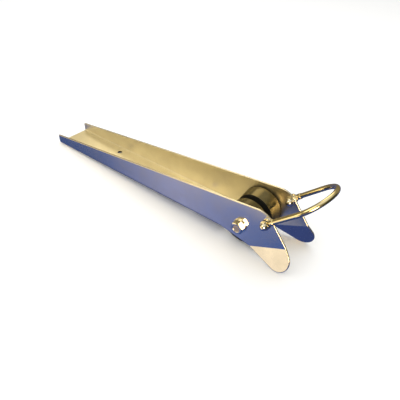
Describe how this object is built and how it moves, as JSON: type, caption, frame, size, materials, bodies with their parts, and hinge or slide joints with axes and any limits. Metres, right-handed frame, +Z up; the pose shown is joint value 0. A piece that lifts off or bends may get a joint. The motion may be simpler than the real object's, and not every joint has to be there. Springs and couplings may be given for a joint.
{
  "type": "anchor bow roller",
  "caption": "Long folded stainless bow channel with flared cheeks, a black spool roller on a through bolt, and a swinging wire bail that keeps the anchor rode on the roller.",
  "frame": {"origin": "centre of the deck bolt pattern, on the underside of the channel floor", "axes": "+X towards the bow, +Z up, +Y to port"},
  "size_m": [0.5858, 0.106, 0.1474],
  "materials": {
    "polished_sheet": "polished stainless sheet with fine brush lines",
    "polished_hardware": "bright polished stainless rod and fasteners",
    "black_roller": "glossy black moulded roller",
    "black_nylon": "black nylon bush",
    "white_nylon": "natural nylon bearing"
  },
  "bodies": {
    "channel": {"channel_body": "polished_sheet", "axle_sleeve": "polished_hardware", "thrust_washer_starboard": "white_nylon", "thrust_washer_port": "white_nylon", "roller_bolt": "polished_hardware", "roller_head_washer": "polished_hardware", "roller_nut_washer": "polished_hardware", "roller_lock_nut": "polished_hardware", "lock_nut_insert": "white_nylon", "pivot_spacer_starboard": "white_nylon", "pivot_spacer_port": "white_nylon", "pivot_screw_starboard": "polished_hardware", "pivot_screw_port": "polished_hardware", "dome_nut_starboard": "polished_hardware", "dome_nut_port": "polished_hardware"},
    "roller": {"roller": "black_roller", "roller_bush_starboard": "white_nylon", "roller_bush_port": "white_nylon"},
    "bail": {"bail_rod": "polished_hardware", "bail_eye_starboard": "polished_hardware", "bail_eye_port": "polished_hardware", "eye_bush_starboard": "black_nylon", "eye_bush_port": "black_nylon"}
  },
  "joints": [
    {"name": "roller_spin", "type": "hinge", "parent": "channel", "child": "roller", "pos_m": [0.221, 0, 0.022], "axis": [0, 1, 0], "continuous": true},
    {"name": "bail_swing", "type": "hinge", "parent": "channel", "child": "bail", "pos_m": [0.2689, 0, 0.0542], "axis": [0, -1, 0], "range_deg": [-83, 126]}
  ]
}
